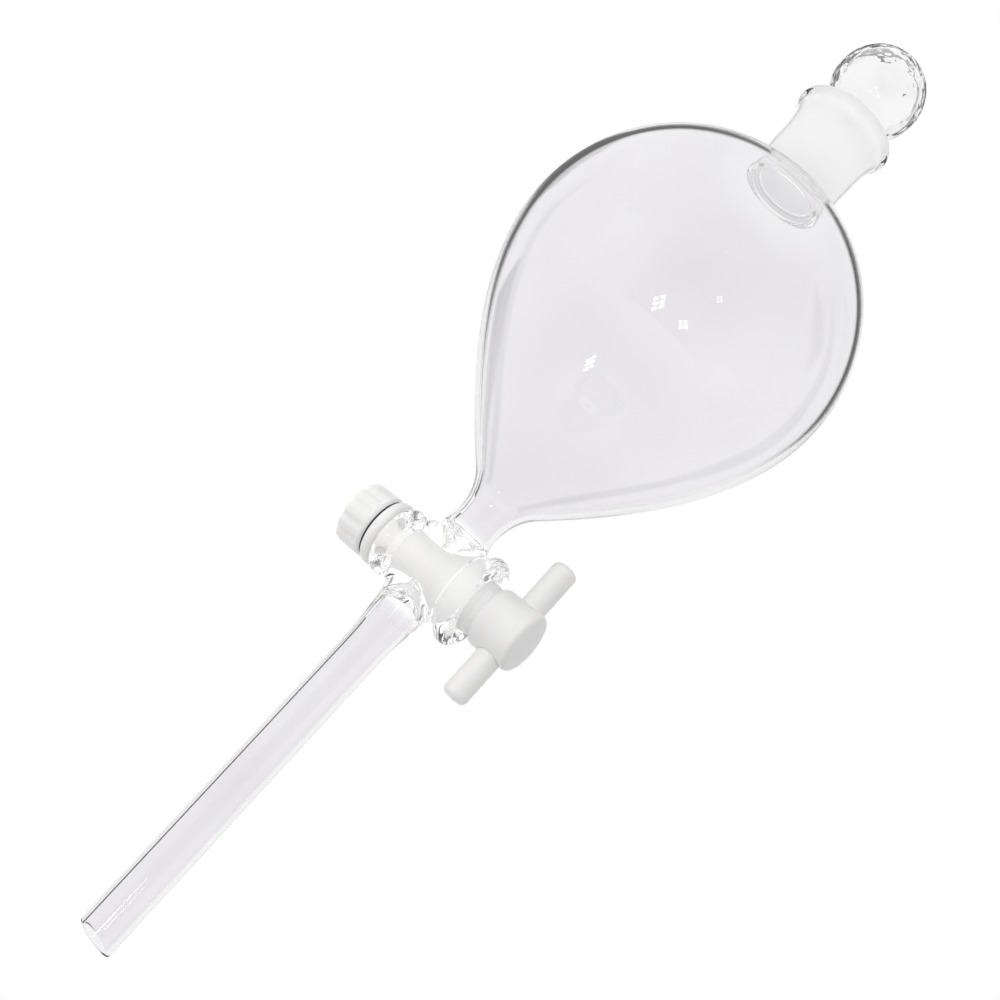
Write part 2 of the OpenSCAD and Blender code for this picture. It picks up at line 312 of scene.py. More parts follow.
class Table:
    """A signed distance kept on a fine grid of (radius, height), read back by interpolation."""

    def __init__(self, poly, rmax, h0, h1, step=0.1):
        self.h0, self.step = h0, step
        self.nr, self.nh = int(rmax / step) + 2, int((h1 - h0) / step) + 2
        u, v = np.meshgrid(np.arange(self.nr) * step, h0 + np.arange(self.nh) * step, indexing="ij")
        self.d = polygon_distance(poly, u, v)

    def __call__(self, r, h):
        a = np.clip(r / self.step, 0, self.nr - 1.001)
        b = np.clip((h - self.h0) / self.step, 0, self.nh - 1.001)
        i, j = a.astype(int), b.astype(int)
        fa, fb = a - i, b - j
        d = self.d
        return (d[i, j] * (1 - fa) * (1 - fb) + d[i + 1, j] * fa * (1 - fb)
                + d[i, j + 1] * (1 - fa) * fb + d[i + 1, j + 1] * fa * fb)


def blend_min(a, b, k):
    """The smaller of two distances, blended smoothly where they are less than k apart."""
    h = np.maximum(k - np.abs(a - b), 0) / k
    return np.minimum(a, b) - h * h * k / 4


Z_LO, Z_HI = -16.0, 15.6
arm_rises = np.linspace(ARM_FOOT, 22, 24)
arm_drops = -np.linspace(ARM_FOOT, 22, 24)
arms_poly = [(0, -22.0)] + [(float(stem_out(z)), float(z)) for z in arm_drops[::-1]]
arms_poly += [(float(tail_out(z)), float(z)) for z in arm_rises] + [(0, 22.0)]
tail_in_r = TAIL_R - TAIL_WALL
upper_bore = [(0, 3.0), (2.0, 3.0), (2.0, 6.6), (2.5, 7.6), (3.7, 9.0), (4.6, 10.4), (tail_in_r, 12.0),
              (tail_in_r, 22.0), (0, 22.0)]
lower_bore = [(0, -22.0)] + [(float(stem_in(z)), float(z)) for z in np.linspace(-22, -12.6, 10)]
lower_bore += [(4.6, -10.8), (3.7, -9.2), (2.5, -7.6), (2.0, -6.6), (2.0, -3.0), (0, -3.0)]
barrel_table = Table(barrel_poly, 24, -26, 26)
bore_table = Table(bore_poly, 24, -26, 26)
arms_table = Table(arms_poly, 24, -26, 26)
upper_table = Table(upper_bore, 24, -26, 26)
lower_table = Table(lower_bore, 24, -26, 26)


def glass_distance(p):
    """Signed distance to the glass round the stopcock; p is relative to the stopcock's axis."""
    x, y, z = p[:, 0], p[:, 1], p[:, 2]
    across, along = np.hypot(y, z), np.hypot(x, y)
    outer = blend_min(barrel_table(across, x), arms_table(along, z), 2.2)
    tubes = np.minimum(upper_table(along, z), lower_table(along, z))
    inner = blend_min(bore_table(across, x), tubes, 0.5)
    return -blend_min(-outer, inner, 0.5)


def surface_nets(field, low, step, counts):
    """A smooth quad surface where the field is zero; open where it leaves the grid."""
    nx, ny, nz = counts
    gx, gy, gz = (low[i] + step * np.arange(counts[i]) for i in range(3))
    pts = np.stack(np.meshgrid(gx, gy, gz, indexing="ij"), axis=-1).reshape(-1, 3)
    f = field(pts).reshape(nx, ny, nz)
    s = f < 0
    cells = (nx - 1, ny - 1, nz - 1)
    total, count = np.zeros(cells + (3,)), np.zeros(cells)
    corner = [(0, 0, 0), (1, 0, 0), (0, 1, 0), (1, 1, 0), (0, 0, 1), (1, 0, 1), (0, 1, 1), (1, 1, 1)]

    def at(arr, c):
        return arr[c[0]:c[0] + cells[0], c[1]:c[1] + cells[1], c[2]:c[2] + cells[2]]

    for a in corner:
        for axis in range(3):
            if a[axis]:
                continue
            b = tuple(a[i] + (i == axis) for i in range(3))
            fa, fb = at(f, a), at(f, b)
            cross = at(s, a) != at(s, b)
            t = np.where(cross, fa / np.where(cross, fa - fb, 1), 0)
            for i in range(3):
                total[..., i] += np.where(cross, a[i] + (t if i == axis else 0), 0)
            count += cross
    used = count > 0
    index = np.full(cells, -1)
    index[used] = np.arange(used.sum())
    where = np.argwhere(used)
    verts = np.array(low) + step * (where + total[used] / count[used][:, None])
    faces = []
    for axis in range(3):
        o1, o2 = [(1, 2), (2, 0), (0, 1)][axis]
        lo_s = [slice(None)] * 3
        hi_s = [slice(None)] * 3
        lo_s[axis], hi_s[axis] = slice(0, -1), slice(1, None)
        a, b = s[tuple(lo_s)], s[tuple(hi_s)]
        for flip, mask in ((False, a & ~b), (True, ~a & b)):
            e = np.argwhere(mask)
            ok = (e[:, o1] > 0) & (e[:, o2] > 0) & (e[:, o1] < counts[o1] - 1) & (e[:, o2] < counts[o2] - 1)
            e = e[ok]
            quad = []
            for d1, d2 in ((-1, -1), (0, -1), (0, 0), (-1, 0)):
                c = e.copy()
                c[:, o1] += d1
                c[:, o2] += d2
                quad.append(index[c[:, 0], c[:, 1], c[:, 2]])
            q = np.stack(quad, axis=1)
            faces.append(q[:, ::-1] if flip else q)
    return verts, np.concatenate(faces), where


def pull_onto(field, p, rounds=4):
    """Moves points along the field's slope until they lie where it is zero."""
    e = 0.02
    for _ in range(rounds):
        f = field(p)
        g = np.stack([(field(p + e * d) - field(p - e * d)) / (2 * e) for d in np.eye(3)], axis=1)
        n = np.maximum((g * g).sum(1), 0.25)
        p = p - (np.clip(f, -0.2, 0.2) / n)[:, None] * g
    return p


NET = 0.3
low = np.array([BARREL_X0 - 1.2, -14.7, Z_LO - NET])
counts = (int((BARREL_X1 - BARREL_X0 + 2.4) / NET) + 2, int(29.4 / NET) + 2,
          int((Z_HI - Z_LO) / NET) + 3)
net_v, net_f, net_cell = surface_nets(glass_distance, low, NET, counts)
last = counts[2] - 2
net_v = pull_onto(glass_distance, net_v)
low_z = low[2] + 0.5 * NET
high_z = low[2] + (last + 0.5) * NET
for cell, z in ((0, low_z), (last, high_z)):
    net_v[net_cell[:, 2] == cell, 2] = z

glass_v = [np.array([p[0], p[1], p[2] + TAP_Z]) for p in net_v]
glass_f = [tuple(int(i) for i in q) for q in net_f]
glass_m = [0] * len(glass_f)


def loop_of(cell, inner):
    """Vertices of one end loop of the net, in order of angle."""
    ids = np.nonzero(net_cell[:, 2] == cell)[0]
    r = np.hypot(net_v[ids, 0], net_v[ids, 1])
    split = 5.6 if cell else 5.45
    ids = ids[(r < split) if inner else (r >= split)]
    a = np.arctan2(net_v[ids, 1], net_v[ids, 0])
    order = np.argsort(a)
    return ids[order], a[order]


def lathe(ids, angles, profile, outward, shape=None, zone=None):
    """Carries a loop along an outline of (radius, height), adding rings at the loop's own angles."""
    ring = list(int(i) for i in ids)
    n = len(ring)
    ca, sa = np.cos(angles), np.sin(angles)
    for k, (r, z) in enumerate(profile):
        base = len(glass_v)
        p = np.stack([r * ca, r * sa, np.full(n, z)], axis=1)
        if shape is not None:
            p = shape(p)
        glass_v.extend(p)
        new = list(range(base, base + n))
        for i in range(n):
            j = (i + 1) % n
            q = (ring[i], ring[j], new[j], new[i])
            glass_f.append(q if outward else q[::-1])
            glass_m.append(zone(r, z) if zone else 0)
        ring = new
    return ring


def close_rim(outer_ring, outer_angles, inner_ring, inner_angles, up):
    """Joins two rings that have different numbers of points."""
    na, nb = len(outer_ring), len(inner_ring)
    i = j = 0
    while i < na or j < nb:
        an = outer_angles[(i + 1) % na] + (2 * math.pi if i + 1 >= na else 0)
        bn = inner_angles[(j + 1) % nb] + (2 * math.pi if j + 1 >= nb else 0)
        if j >= nb or (i < na and an <= bn):
            f = (outer_ring[i % na], outer_ring[(i + 1) % na], inner_ring[j % nb])
            i += 1
        else:
            f = (outer_ring[i % na], inner_ring[(j + 1) % nb], inner_ring[j % nb])
            j += 1
        glass_f.append(f if up else f[::-1])
        glass_m.append(0)


RING_POINTS = 288
EVEN_A = np.linspace(-math.pi, math.pi, RING_POINTS + 1)[:-1]


def even_ring(ids, angles, r, z, up):
    """Carries an uneven loop of the net on into a ring of evenly spaced points."""
    base = len(glass_v)
    glass_v.extend(np.stack([r * np.cos(EVEN_A), r * np.sin(EVEN_A), np.full(len(EVEN_A), z)], axis=1))
    new = list(range(base, base + len(EVEN_A)))
    close_rim(list(map(int, ids)), angles, new, EVEN_A, up)
    return new


def uneven(p, amount, size, seed):
    """Slight waviness of blown glass, along the radius of the globe."""
    c = np.array([0, 0, BULB_Z])
    d = p - c
    n = d / np.maximum(np.linalg.norm(d, axis=1), 1e-6)[:, None]
    w = np.array([noise.noise(Vector(tuple(q / size)) + Vector((seed, 0, 0))) for q in p])
    return p + n * (amount * w)[:, None]


def bulb_waves(p):
    """Waviness for one ring of the globe's inside, fading out at the waist and at the neck."""
    z = p[0, 2]
    foot = MOUTH_Z - GROUND
    ease = float(smoothstep(z, WAIST_Z + 4, WAIST_Z + 24) * (1 - smoothstep(z, foot - 6, foot - 2)))
    return uneven(p, 0.05 * ease, 26.0, 3.7) if ease > 0 else p


def ground_zone(r, z):
    """Material slot: 1 on the ground part of the socket, 0 elsewhere."""
    return 1 if MOUTH_Z - GROUND + 0.5 < z < MOUTH_Z - 0.7 and r < MOUTH_R + 0.1 else 0


def tip_cut(p):
    """Shears the last few millimetres of the stem, so that its end is cut aslant."""
    share = 1 - smoothstep(p[:, 2], 0, TIP_LENGTH)
    out = p.copy()
    out[:, 2] += share * (STEM_R - p[:, 0]) * math.tan(TIP_ANGLE)
    return out


top_z, bottom_z = high_z + TAP_Z, low_z + TAP_Z
out_ids, out_a = loop_of(last, False)
in_ids, in_a = loop_of(last, True)
top_line, top_inside = (spread(line, 1.6)[1:] for line in (outer_profile(top_z), inner_profile(top_z)))
top_out = lathe(even_ring(out_ids, out_a, *top_line[0], False), EVEN_A, top_line[1:], True)
top_in = lathe(even_ring(in_ids, in_a, *top_inside[0], True), EVEN_A, top_inside[1:], False,
               shape=bulb_waves, zone=ground_zone)
close_rim(top_out, EVEN_A, top_in, EVEN_A, True)

stem_heights = np.concatenate([np.linspace(bottom_z, TIP_LENGTH, 56)[1:],
                               np.linspace(TIP_LENGTH, 0.35, 10)[1:]])
low_ids, low_a = loop_of(0, False)
lin_ids, lin_a = loop_of(0, True)
stem_bore = STEM_R - STEM_WALL
stem_outline = [(float(stem_out(z - TAP_Z)), float(z)) for z in stem_heights]
stem_outline += [(STEM_R - 0.04, 0.14), (STEM_R - 0.16, 0.03), (STEM_R - 0.34, 0)]
stem_inside = [(float(stem_in(z - TAP_Z)), float(z)) for z in stem_heights]
stem_inside += [(stem_bore + 0.03, 0.12), (stem_bore + 0.12, 0.02), (stem_bore + 0.26, 0)]
tip_out = lathe(even_ring(low_ids, low_a, *stem_outline[0], True), EVEN_A, stem_outline[1:], False,
                shape=tip_cut)
tip_in = lathe(even_ring(lin_ids, lin_a, *stem_inside[0], False), EVEN_A, stem_inside[1:], True,
               shape=tip_cut)
close_rim(tip_out, EVEN_A, tip_in, EVEN_A, False)


# ---- Materials: each is a small node tree, with fixed values on the shader's own sockets ----


def new_material(name):
    m = bpy.data.materials.new(name)
    m.use_nodes = True
    t = m.node_tree
    return m, t, t.nodes["Principled BSDF"]


def add_noise(tree, scale, detail=2.0, rough=0.5):
    coord = tree.nodes.new("ShaderNodeTexCoord")
    tex = tree.nodes.new("ShaderNodeTexNoise")
    tex.inputs["Scale"].default_value = scale
    tex.inputs["Detail"].default_value = detail
    tex.inputs["Roughness"].default_value = rough
    tree.links.new(coord.outputs["Object"], tex.inputs["Vector"])
    return tex


def add_bump(tree, shader, tex, strength, distance):
    bump = tree.nodes.new("ShaderNodeBump")
    bump.inputs["Strength"].default_value = strength
    bump.inputs["Distance"].default_value = distance
    tree.links.new(tex.outputs["Fac"], bump.inputs["Height"])
    tree.links.new(bump.outputs["Normal"], shader.inputs["Normal"])


def add_ramp(tree, tex, low, high, a=0.35, b=0.65):
    ramp = tree.nodes.new("ShaderNodeValToRGB")
    ramp.color_ramp.elements[0].position = a
    ramp.color_ramp.elements[1].position = b
    ramp.color_ramp.elements[0].color = low
    ramp.color_ramp.elements[1].color = high
    tree.links.new(tex.outputs["Fac"], ramp.inputs["Fac"])
    return ramp


def ease_along(tree, value, low, high):
    """0 to 1 as a value runs from low to high."""
    node = tree.nodes.new("ShaderNodeMapRange")
    node.interpolation_type = "SMOOTHSTEP"
    node.inputs["From Min"].default_value = low
    node.inputs["From Max"].default_value = high
    tree.links.new(value, node.inputs["Value"])
    return node.outputs["Result"]


def calculate(tree, operation, *values):
    """A Math node; each value is a number or another node's output."""
    node = tree.nodes.new("ShaderNodeMath")
    node.operation = operation
    for socket, value in zip(node.inputs, values):
        if isinstance(value, (int, float)):
            socket.default_value = value
        else:
            tree.links.new(value, socket)
    return node.outputs[0]


GLASS_IOR = 1.474
TAP_GLOW = 0.05


def clear_glass(name, wave, wave_scale, low, high, stout=0.99, foot=0.0):
    """Colourless glass with a faint grey tint in the long walls; at the tap and the neck the thick pieces
    get a whiter colour instead, painted light that makes up for light a tracer loses in them.

    foot is the light given back to the stopper's foot, which the ground walls above it keep in the dark.
    """
    m, t, s = new_material(name)
    s.inputs["Transmission Weight"].default_value = 1.0
    s.inputs["IOR"].default_value = GLASS_IOR
    s.inputs["Roughness"].default_value = 0.0
    tint = add_ramp(t, add_noise(t, 28, 1.0), low, high)
    place = t.nodes.new("ShaderNodeTexCoord").outputs["Object"]
    split = t.nodes.new("ShaderNodeSeparateXYZ")
    t.links.new(place, split.inputs[0])
    height = split.outputs["Z"]
    from_tap = calculate(t, "ABSOLUTE", calculate(t, "SUBTRACT", height, TAP_Z * MM))
    from_neck = calculate(t, "SUBTRACT", (MOUTH_Z - GROUND) * MM, height)
    past_tap = ease_along(t, from_tap, 0.009, 0.016)
    amount = calculate(t, "MULTIPLY", past_tap, ease_along(t, from_neck, -0.002, 0.006))
    # Painted light: the thick glass at the tap and the neck gets a whiter colour than the long walls
    blend = t.nodes.new("ShaderNodeMix")
    blend.data_type = "RGBA"
    blend.inputs["A"].default_value = (stout, stout, stout, 1)
    t.links.new(amount, blend.inputs["Factor"])
    t.links.new(tint.outputs["Color"], blend.inputs["B"])
    t.links.new(blend.outputs["Result"], s.inputs["Base Color"])
    # Light runs round inside the stout pieces longer than it can be traced, and this gives it back
    s.inputs["Emission Color"].default_value = (1, 1, 1, 1)
    glow = calculate(t, "MULTIPLY_ADD", past_tap, -TAP_GLOW, TAP_GLOW)
    if foot:
        glow = calculate(t, "MULTIPLY", ease_along(t, from_neck, -0.003, -0.001), foot)
    t.links.new(glow, s.inputs["Emission Strength"])
    add_bump(t, s, add_noise(t, wave_scale, 1.5), wave, 0.0004)
    return m


glass = clear_glass("clear_borosilicate_glass", 0.02, 40, (0.888, 0.879, 0.892, 1),
                    (0.914, 0.906, 0.918, 1))
ball_glass = clear_glass("blown_ball_glass", 0.06, 160, (0.93, 0.93, 0.94, 1), (0.96, 0.96, 0.97, 1),
                         stout=0.955, foot=0.13)


def ground_glass(name, low, high):
    """Finely ground glass; its faint glow makes up for light that a tracer loses in the neck's wall."""
    m, t, s = new_material(name)
    s.inputs["Transmission Weight"].default_value = 0.12
    s.inputs["IOR"].default_value = GLASS_IOR
    rough = add_ramp(t, add_noise(t, 420, 3.0, 0.6), (0.50, 0.50, 0.50, 1), (0.66, 0.66, 0.66, 1))
    t.links.new(rough.outputs["Color"], s.inputs["Roughness"])
    shade = add_ramp(t, add_noise(t, 60, 3.0, 0.6), low, high)
    t.links.new(shade.outputs["Color"], s.inputs["Base Color"])
    s.inputs["Emission Color"].default_value = (0.97, 0.966, 0.968, 1)
    s.inputs["Emission Strength"].default_value = 0.22
    add_bump(t, s, add_noise(t, 2600, 2.0), 0.35, 0.00005)
    return m


frosted = ground_glass("ground_glass", (0.955, 0.950, 0.953, 1), (0.985, 0.982, 0.984, 1))
# The cone's copy has a darker base: painted shade that offsets the same painted glow on the stopper's cone
ground_cone = ground_glass("ground_glass_cone", (0.66, 0.66, 0.67, 1), (0.74, 0.74, 0.75, 1))


def white_plastic(name, turned_marks, lit=0.02, lit_in_glass=0.0):
    """PTFE; lit is a faint painted glow all over, and lit_in_glass is a painted glow that makes up for light
    that a tracer loses where the plug lies inside the barrel.
    """
    m, t, s = new_material(name)
    s.inputs["Roughness"].default_value = 0.42
    s.inputs["Subsurface Weight"].default_value = 0.25
    s.inputs["Subsurface Radius"].default_value = (1.0, 0.95, 0.9)
    s.inputs["Subsurface Scale"].default_value = 0.0012
    shade = add_ramp(t, add_noise(t, 90, 4.0, 0.6), (0.885, 0.878, 0.871, 1), (0.915, 0.909, 0.903, 1))
    t.links.new(shade.outputs["Color"], s.inputs["Base Color"])
    coord = t.nodes.new("ShaderNodeTexCoord")
    t.links.new(shade.outputs["Color"], s.inputs["Emission Color"])
    if lit_in_glass:
        split = t.nodes.new("ShaderNodeSeparateXYZ")
        t.links.new(coord.outputs["Object"], split.inputs[0])
        in_glass = ease_along(t, split.outputs["X"], 0.0150, 0.0140)
        t.links.new(calculate(t, "MULTIPLY", in_glass, lit_in_glass), s.inputs["Emission Strength"])
    else:
        s.inputs["Emission Strength"].default_value = lit
    wave = t.nodes.new("ShaderNodeTexWave")
    wave.bands_direction = turned_marks
    wave.inputs["Scale"].default_value = 900
    wave.inputs["Distortion"].default_value = 1.5
    wave.inputs["Detail"].default_value = 2
    t.links.new(coord.outputs["Object"], wave.inputs["Vector"])
    add_bump(t, s, wave, 0.06, 0.00004)
    return m


ptfe = white_plastic("white_ptfe_turned", "X")
ptfe_plug = white_plastic("white_ptfe_plug", "X", lit_in_glass=0.22)
ptfe_bar = white_plastic("white_ptfe_bar", "Z")

rubber, t, s = new_material("black_rubber")
s.inputs["Roughness"].default_value = 0.55
shade = add_ramp(t, add_noise(t, 300, 3.0), (0.012, 0.012, 0.012, 1), (0.028, 0.027, 0.027, 1))
t.links.new(shade.outputs["Color"], s.inputs["Base Color"])
add_bump(t, s, add_noise(t, 900, 2.0), 0.2, 0.00005)

# ---- Glass body object ----

body = make_object("glass_funnel_body", np.array(glass_v), glass_f, "glass_body", [glass, frosted], glass_m)
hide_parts("neck_socket", "bulb", "tail_tube", "stopcock_barrel", "stem")

# ---- Stopper: a hollow ball on a ground hollow cone ----

BALL_Z = BALL_TOP - BALL_R
foot_z = MOUTH_Z - GROUND


def cone_r(z):
    """Radius of the stopper's ground cone, 0.05 mm clear of the socket."""
    return MOUTH_R - (MOUTH_Z - z) / 20 - 0.05


stop_out = [(0, foot_z), (4, foot_z)] + arc(cone_r(foot_z) - 2.5, foot_z + 2.5, 2.5, -90, 0, 8)
stop_out += [(cone_r(z), z) for z in np.linspace(foot_z + 4, MOUTH_Z - 1.4, 12)]
stop_out += [(cone_r(MOUTH_Z) - 0.12, MOUTH_Z - 0.5), (cone_r(MOUTH_Z) - 0.5, MOUTH_Z + 0.1),
             (10.4, MOUTH_Z + 0.75), (9.75, MOUTH_Z + 1.2), (9.6, MOUTH_Z + 1.55)]
foot_a = -math.degrees(math.acos(10.3 / BALL_R))
stop_out += arc(0, BALL_Z, BALL_R, foot_a - 3.0, 90, 60)
stop_out[-1] = (0, BALL_TOP)
STOPPER_WALL = 1.8
stop_in = [(0, BALL_Z + BALL_R - STOPPER_WALL)]
throat_a = -math.degrees(math.acos(8.0 / (BALL_R - STOPPER_WALL)))
stop_in += arc(0, BALL_Z, BALL_R - STOPPER_WALL, 90, throat_a, 56)[1:]
stop_in += [(7.7, MOUTH_Z + 2.2), (7.7, MOUTH_Z + 1.0), (8.3, MOUTH_Z - 0.6),
            (cone_r(MOUTH_Z - 2) - 2.1, MOUTH_Z - 2.2)]
stop_in += [(cone_r(z) - STOPPER_WALL, z) for z in np.linspace(MOUTH_Z - 4, foot_z + 4, 10)]
stop_in += arc(cone_r(foot_z) - 2.5, foot_z + 2.5, 1.1, 0, -90, 6) + [(4, foot_z + 1.4), (0, foot_z + 1.4)]


def ragged(p):
    """The ball's inside is uneven where it was blown: shallow dents and ridges."""
    c = np.array([0, 0, BALL_Z])
    out = p.copy()
    for k, q in enumerate(p):
        if q[2] < MOUTH_Z + 2.5:
            continue
        d = q - c
        n = d / max(np.linalg.norm(d), 1e-6)
        w = noise.noise(Vector(tuple(n * 2.6)) + Vector((5.1, 2.3, 0.7))) * 0.20
        w += noise.noise(Vector(tuple(n * 6.5)) + Vector((1.1, 7.3, 4.7))) * 0.10
        w += abs(noise.noise(Vector(tuple(n * 11.0)) + Vector((9.1, 3.3, 2.7)))) * 0.06
        ease = float(smoothstep(q[2], MOUTH_Z + 2.5, MOUTH_Z + 7))
        out[k] = q + n * min(0.35, w) * ease
    return out


so_v, so_f = turned(spread(stop_out, 0.9), 128)
si_v, si_f = turned(spread(stop_in, 0.9), 128, shape=ragged)
stop_v = np.concatenate([so_v, si_v])
stop_f = [tuple(f) for f in so_f] + [tuple(i + len(so_v) for i in f) for f in si_f]
stop_m = []
for f in so_f:
    z = so_v[list(f), 2].mean()
    r = np.hypot(so_v[list(f), 0], so_v[list(f), 1]).mean()
    stop_m.append(1 if foot_z + 1.5 < z < MOUTH_Z - 1.0 and r > 9 else 0)
stop_m += [0] * len(si_f)
stopper = make_object("glass_stopper", stop_v, stop_f, "stopper", [ball_glass, ground_cone], stop_m)
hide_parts("stopper_cone", "stopper_ball")

# ---- Stopcock plug, with its grooves, head and cut thread ----

WASHER_X1 = BARREL_X0 - 0.02
WASHER_THICK, RING_GAP, NUT_LENGTH = 3.0, 0.5, 8.5
WASHER_X0 = WASHER_X1 - WASHER_THICK
NUT_X1 = WASHER_X0 - RING_GAP
NUT_X0 = NUT_X1 - NUT_LENGTH
THREAD_R, THREAD_PITCH = 3.95, 1.5
HEAD_X0, HEAD_X1, HEAD_R = 19.4, 32.6, 8.7
BAR_X, BAR_R, BAR_HALF = 27.1, 3.65, 22.5

tip_x = NUT_X0 + 1.2
plug_line = [(0, tip_x), (3.1, tip_x), (THREAD_R, tip_x + 0.9), (THREAD_R, RELIEF_X - 0.1),
             (plug_r(-10.5) - 0.4, -10.5), (plug_r(-9.9), -9.9)]
plug_round = [0, 0.1, 0.1, 0.3, 0.3, 0.2]
plug_line += [(plug_r(8.9), 8.9), (plug_r(8.9) - 0.35, 9.15), (plug_r(9.7) - 0.35, 9.7),
              (plug_r(10.0) + 0.1, 10.0), (plug_r(10) + 0.2, 12.0),
              (6.9, 13.3), (6.9, 14.3), (7.7, 15.0), (7.7, 17.2), (7.35, 17.5), (7.35, 18.5),
              (7.6, HEAD_X0 - 0.1)]
plug_round += [0.1, 0.1, 0.1, 0.1, 0.2, 0.4, 0.2, 0.5, 0.15, 0.15, 0.15, 0.3]
plug_line += [(HEAD_R - 0.35, HEAD_X0 + 0.35), (HEAD_R, HEAD_X0 + 1.3), (HEAD_R, HEAD_X1), (0, HEAD_X1)]
plug_round += [0.5, 0.6, 1.5, 0]
plug_outline = spread(rounded(plug_line, plug_round, 7), 0.8)


def thread(p):
    """A shallow helical thread on the plug's small end."""
    r = np.hypot(p[:, 0], p[:, 1])
    a = np.arctan2(p[:, 1], p[:, 0])
    h = p[:, 2]
    on = smoothstep(h, tip_x + 0.2, tip_x + 1.2) * (1 - smoothstep(h, -16.4, -15.6)) * (r > 3.5)
    saw = np.abs(((h / THREAD_PITCH + a / (2 * math.pi)) % 1.0) - 0.5) * 2
    cut = on * 0.55 * (1 - smoothstep(saw, 0.25, 0.75))
    k = np.where(r > 0, (r - cut) / np.maximum(r, 1e-9), 1)
    return np.stack([p[:, 0] * k, p[:, 1] * k, h], axis=1)


fine = []  # the plug's outline, with points close enough together for the thread to show
for a, b in zip(plug_outline[:-1], plug_outline[1:]):
    n = 1
    if a[0] > 3.5 and b[0] > 3.5 and b[1] < -15:
        n = max(1, math.ceil((b[1] - a[1]) / 0.14))
    fine += [(a[0] + (b[0] - a[0]) * k / n, a[1] + (b[1] - a[1]) * k / n) for k in range(n)]
fine.append(plug_outline[-1])
v, f = turned(fine, 128, axis="x", origin=(0, 0, TAP_Z), shape=thread)
plug = make_object("ptfe_stopcock_plug", v, f, "plug", [ptfe_plug])
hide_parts("stopcock_plug")


def cylinder(radius, half, centre, segments=64):
    v, f = turned([(0, -half), (radius, -half), (radius, half), (0, half)], segments, origin=centre)
    mesh = bpy.data.meshes.new("cutter")
    mesh.from_pydata([tuple(p) for p in v * MM], [], f)
    obj = bpy.data.objects.new("cutter", mesh)
    bpy.context.scene.collection.objects.link(obj)
    return obj


def drill(target, cutters):
    """Cuts holes, applies them and removes the cutters."""
    for c in cutters:
        mod = target.modifiers.new("hole", "BOOLEAN")
        mod.operation = "DIFFERENCE"
        mod.solver = "EXACT"
        mod.object = c
    deps = bpy.context.evaluated_depsgraph_get()
    mesh = bpy.data.meshes.new_from_object(target.evaluated_get(deps))
    target.modifiers.clear()
    target.data = mesh
    for c in cutters:
        bpy.data.objects.remove(c)


drill(plug, [cylinder(2.0, 12, (0, 0, TAP_Z)), cylinder(BAR_R + 0.02, 14, (BAR_X, 0, TAP_Z))])

bar_line = rounded([(0, -BAR_HALF), (BAR_R, -BAR_HALF), (BAR_R, BAR_HALF), (0, BAR_HALF)],
                   [0, 1.7, 1.7, 0], 9)
v, f = turned(spread(bar_line, 1.5), 96, origin=(BAR_X, 0, TAP_Z))
bar = make_object("ptfe_handle_bar", v, f, "plug", [ptfe_bar])
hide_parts("handle_bar")

# ---- Washer, ring and nut ----

HOLE_R, WASHER_R = 4.3, 9.6
wash_line = rounded([(HOLE_R, WASHER_X0), (WASHER_R, WASHER_X0), (WASHER_R, WASHER_X1), (HOLE_R, WASHER_X1)],
                    [0, 1.1, 1.1, 0], 8)
wash_line = [(HOLE_R, WASHER_X1)] + wash_line
v, f = turned(wash_line, 128, axis="x", origin=(0, 0, TAP_Z))
washer = make_object("ptfe_washer", v, f, "seal_stack", [ptfe])
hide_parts("washer")

ring_mid, ring_r, ring_half = 6.4, 1.5, 0.9
# The tightened nut squeezes a rounded lip of the ring out between nut and washer
ring_lip = [(7.85, -RING_GAP), (8.4, -RING_GAP), (8.62, -RING_GAP - 0.1), (8.76, -RING_GAP),
            (8.8, -0.5 * RING_GAP), (8.76, -0.06), (8.62, -0.01), (8.4, -0.04)]
ring_line = [(ring_mid + ring_r * math.cos(a), WASHER_X0 - ring_half + ring_half * math.sin(a))
             for a in np.linspace(-1.5 * math.pi, -0.12 * math.pi, 25)]
ring_line = [(8.4, WASHER_X0 - 0.04)] + ring_line + [(r, WASHER_X0 + x) for r, x in ring_lip]
v, f = turned(ring_line, 128, axis="x", origin=(0, 0, TAP_Z))
ring = make_object("rubber_o_ring", v, f, "seal_stack", [rubber])
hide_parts("o_ring")

FLUTES, NUT_R = 12, 9.3
nut_line = [(4.05, NUT_X1 - 1.4), (4.05, NUT_X0), (NUT_R - 0.1, NUT_X0), (NUT_R, NUT_X1 - 0.9),
            (8.5, NUT_X1), (8.05, NUT_X1), (8.05, NUT_X1 - 1.4), (4.05, NUT_X1 - 1.4)]
nut_line = rounded(nut_line, [0, 0.3, 0.6, 0.5, 0.2, 0.2, 0.1, 0], 7)


def flutes(p):
    """Shallow grip flutes round the nut, fading out at its washer end."""
    r = np.hypot(p[:, 0], p[:, 1])
    a = np.arctan2(p[:, 1], p[:, 0])
    wave = 0.5 - 0.5 * np.cos(FLUTES * a)
    on = smoothstep(r, NUT_R - 1.6, NUT_R - 0.3) * (1 - smoothstep(p[:, 2], NUT_X1 - 2.0, NUT_X1 - 1.0))
    k = np.where(r > 0, (r - 0.5 * on * (1 - wave) ** 2) / np.maximum(r, 1e-9), 1)
    return np.stack([p[:, 0] * k, p[:, 1] * k, p[:, 2]], axis=1)


v, f = turned(spread(nut_line, 0.5), 240, axis="x", origin=(0, 0, TAP_Z), shape=flutes)
nut = make_object("ptfe_fluted_nut", v, f, "nut", [ptfe])
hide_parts("nut")

# ---- Every turned piece gets outward faces ----

for o in (stopper, plug, bar, washer, ring, nut, body):
    bm = bmesh.new()
    bm.from_mesh(o.data)
    bmesh.ops.remove_doubles(bm, verts=bm.verts, dist=1e-7)
    bmesh.ops.recalc_face_normals(bm, faces=bm.faces)
    bm.to_mesh(o.data)
    bm.free()
    o.data.polygons.foreach_set("use_smooth", np.full(len(o.data.polygons), True))
    o.data.update()
